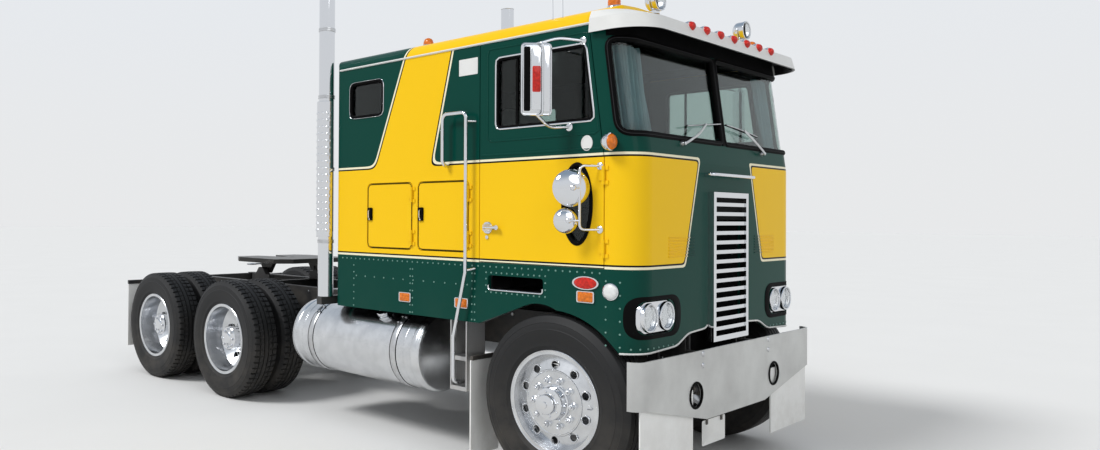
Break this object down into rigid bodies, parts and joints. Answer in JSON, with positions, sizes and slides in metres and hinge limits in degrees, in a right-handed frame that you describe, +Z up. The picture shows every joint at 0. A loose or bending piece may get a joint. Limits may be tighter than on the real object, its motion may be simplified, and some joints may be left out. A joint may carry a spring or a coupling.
{
  "type": "semi truck tractor unit",
  "caption": "Cab-over semi truck tractor with a long sleeper, opening doors and lockers, tilting cab, steering front wheels, twin rear wheels and a rocking fifth wheel.",
  "frame": {"origin": "on the ground at half the truck's length and width", "axes": "+X forward, +Y to the truck's left, +Z up"},
  "size_m": [6.23, 2.8422, 3.75],
  "materials": {
    "cab_paint": "glossy two-colour coach paint with pinstripes",
    "frame_paint": "satin black chassis paint",
    "engine_iron": "painted iron",
    "polished_aluminium": "polished",
    "bumper_aluminium": "brushed, slightly dull",
    "tread_plate": "raised tread pattern",
    "chrome": "bright plating",
    "tyre_rubber": "black rubber",
    "glass": "lightly tinted",
    "amber_lens": "ribbed lens",
    "red_lens": "ribbed lens",
    "trim_plastic": "grained",
    "seat_vinyl": "grained vinyl",
    "bunk_fabric": "woven cover",
    "flap_rubber": "pale moulded rubber",
    "white_paint": "gloss white",
    "cab_lining": "lined and carpeted"
  },
  "bodies": {
    "chassis": {"frame": "frame_paint", "engine": "engine_iron", "drive_shafts": "frame_paint", "front_axle": "frame_paint", "rear_axles": "frame_paint", "springs": "frame_paint", "bumper": "bumper_aluminium", "flaps": "flap_rubber", "fuel_tanks": "polished_aluminium", "deck_plate": "tread_plate", "stacks": "chrome", "tail_lamps": "red_lens", "fifth_wheel_stands": "frame_paint"},
    "cab": {"cab_sides": "cab_paint", "cab_back": "cab_paint", "cab_front": "cab_paint", "cab_roof": "cab_paint", "cab_skirt": "cab_paint", "cab_floor": "cab_lining", "cab_glass": "glass", "grille": "chrome", "headlamps": "chrome", "sun_visor": "white_paint", "marker_lamps": "amber_lens", "roof_lamps": "chrome", "grab_rails": "chrome", "entry_steps": "tread_plate", "seats": "seat_vinyl", "bunk": "bunk_fabric", "dashboard": "trim_plastic", "steering_wheel": "trim_plastic"},
    "fifth_wheel": {"fifth_wheel_plate": "frame_paint"},
    "right_door": {"door_right": "cab_paint", "door_glass_right": "glass", "door_mirrors_right": "chrome"},
    "right_front_locker": {"locker_front_right": "cab_paint"},
    "right_back_locker": {"locker_back_right": "cab_paint"},
    "right_knuckle": {"knuckle_right": "frame_paint"},
    "right_front_wheel": {"front_tyre_right": "tyre_rubber", "front_wheel_right": "polished_aluminium"},
    "right_drive_wheels": {"drive_tyres_right": "tyre_rubber", "drive_wheels_right": "polished_aluminium"},
    "right_rear_wheels": {"rear_tyres_right": "tyre_rubber", "rear_wheels_right": "polished_aluminium"},
    "left_door": {"door_left": "cab_paint", "door_glass_left": "glass", "door_mirrors_left": "chrome"},
    "left_front_locker": {"locker_front_left": "cab_paint"},
    "left_back_locker": {"locker_back_left": "cab_paint"},
    "left_knuckle": {"knuckle_left": "frame_paint"},
    "left_front_wheel": {"front_tyre_left": "tyre_rubber", "front_wheel_left": "polished_aluminium"},
    "left_drive_wheels": {"drive_tyres_left": "tyre_rubber", "drive_wheels_left": "polished_aluminium"},
    "left_rear_wheels": {"rear_tyres_left": "tyre_rubber", "rear_wheels_left": "polished_aluminium"}
  },
  "joints": [
    {"name": "cab_tilt", "type": "hinge", "parent": "chassis", "child": "cab", "pos_m": [3.065, 0, 0.64], "axis": [0, 1, 0], "range_deg": [0, 60]},
    {"name": "fifth_wheel_rock", "type": "hinge", "parent": "chassis", "child": "fifth_wheel", "pos_m": [-1.705, 0, 1.12], "axis": [0, 1, 0], "range_deg": [-15, 15]},
    {"name": "right_door_swing", "type": "hinge", "parent": "cab", "child": "right_door", "pos_m": [2.828, -1.131, 1.715], "axis": [0, 0, 1], "range_deg": [0, 75]},
    {"name": "right_front_locker_swing", "type": "hinge", "parent": "cab", "child": "right_front_locker", "pos_m": [1.778, -1.131, 1.685], "axis": [0, 0, 1], "range_deg": [0, 90]},
    {"name": "right_back_locker_swing", "type": "hinge", "parent": "cab", "child": "right_back_locker", "pos_m": [1.236, -1.131, 1.685], "axis": [0, 0, 1], "range_deg": [0, 90]},
    {"name": "right_steer", "type": "hinge", "parent": "chassis", "child": "right_knuckle", "pos_m": [2.475, -0.85, 0.54], "axis": [0, 0, 1], "range_deg": [-30, 30]},
    {"name": "right_front_wheel_spin", "type": "hinge", "parent": "right_knuckle", "child": "right_front_wheel", "pos_m": [2.475, -1.01, 0.54], "axis": [0, 1, 0], "continuous": true},
    {"name": "right_drive_wheels_spin", "type": "hinge", "parent": "chassis", "child": "right_drive_wheels", "pos_m": [-1.165, -0.915, 0.54], "axis": [0, 1, 0], "continuous": true},
    {"name": "right_rear_wheels_spin", "type": "hinge", "parent": "chassis", "child": "right_rear_wheels", "pos_m": [-2.485, -0.915, 0.54], "axis": [0, 1, 0], "continuous": true},
    {"name": "left_door_swing", "type": "hinge", "parent": "cab", "child": "left_door", "pos_m": [2.828, 1.131, 1.715], "axis": [0, 0, -1], "range_deg": [0, 75]},
    {"name": "left_front_locker_swing", "type": "hinge", "parent": "cab", "child": "left_front_locker", "pos_m": [1.778, 1.131, 1.685], "axis": [0, 0, -1], "range_deg": [0, 90]},
    {"name": "left_back_locker_swing", "type": "hinge", "parent": "cab", "child": "left_back_locker", "pos_m": [1.236, 1.131, 1.685], "axis": [0, 0, -1], "range_deg": [0, 90]},
    {"name": "left_steer", "type": "hinge", "parent": "chassis", "child": "left_knuckle", "pos_m": [2.475, 0.85, 0.54], "axis": [0, 0, 1], "range_deg": [-30, 30]},
    {"name": "left_front_wheel_spin", "type": "hinge", "parent": "left_knuckle", "child": "left_front_wheel", "pos_m": [2.475, 1.01, 0.54], "axis": [0, 1, 0], "continuous": true},
    {"name": "left_drive_wheels_spin", "type": "hinge", "parent": "chassis", "child": "left_drive_wheels", "pos_m": [-1.165, 0.915, 0.54], "axis": [0, 1, 0], "continuous": true},
    {"name": "left_rear_wheels_spin", "type": "hinge", "parent": "chassis", "child": "left_rear_wheels", "pos_m": [-2.485, 0.915, 0.54], "axis": [0, 1, 0], "continuous": true}
  ],
  "couplings": [
    {"joint": "left_steer", "follows": "right_steer", "ratio": 1}
  ]
}
